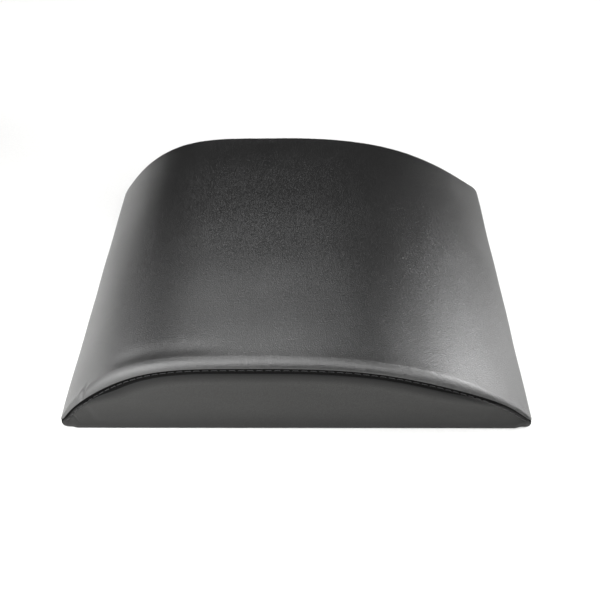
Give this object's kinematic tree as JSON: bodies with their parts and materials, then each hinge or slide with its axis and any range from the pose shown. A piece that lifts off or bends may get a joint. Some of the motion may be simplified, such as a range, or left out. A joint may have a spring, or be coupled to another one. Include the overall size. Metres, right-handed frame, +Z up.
{
  "type": "ab mat",
  "caption": "Arched foam exercise mat for sit-ups in a sewn black leatherette cover, crowned nearer one edge, with rolled ends, flat end panels and a zip low in the rear end.",
  "frame": {"origin": "on the floor plane under the middle of the mat", "axes": "+X across the arch towards its long gentle side, +Y towards the end with the zip, +Z up"},
  "size_m": [0.385, 0.32, 0.08],
  "materials": {
    "foam": "open-cell foam, matte",
    "top_leatherette": "fine-grained leatherette, semi-gloss",
    "end_leatherette": "fine-grained leatherette, satin",
    "thread": "black polyester thread",
    "zip_tape": "black woven tape",
    "zip_teeth": "black moulded plastic",
    "zip_metal": "black lacquered zinc, satin"
  },
  "bodies": {
    "cover": {"foam_core": "foam", "top_panel": "top_leatherette", "front_end_panel": "end_leatherette", "rear_end_panel": "end_leatherette", "rear_zip_strip": "end_leatherette", "base_panel": "top_leatherette", "front_topstitch": "thread", "rear_topstitch": "thread", "zip_topstitch_upper": "thread", "zip_topstitch_lower": "thread", "zip_tape_upper": "zip_tape", "zip_tape_lower": "zip_tape", "zip_teeth_upper": "zip_teeth", "zip_teeth_lower": "zip_teeth", "zip_top_stop_upper": "zip_metal", "zip_top_stop_lower": "zip_metal", "zip_bottom_stop": "zip_metal"},
    "slider": {"zip_slider": "zip_metal"},
    "pull_tab": {"zip_pull_tab": "zip_metal"}
  },
  "joints": [
    {"name": "slider_travel", "type": "slide", "parent": "cover", "child": "slider", "axis": [-1, 0, 0], "range_m": [0, 0.301], "deforming": ["zip_teeth_upper", "zip_teeth_lower"]},
    {"name": "tab_swing", "type": "hinge", "parent": "slider", "child": "pull_tab", "pos_m": [0.15192, 0.15865, 0.018], "axis": [0, 0, -1], "range_deg": [0, 150]}
  ]
}
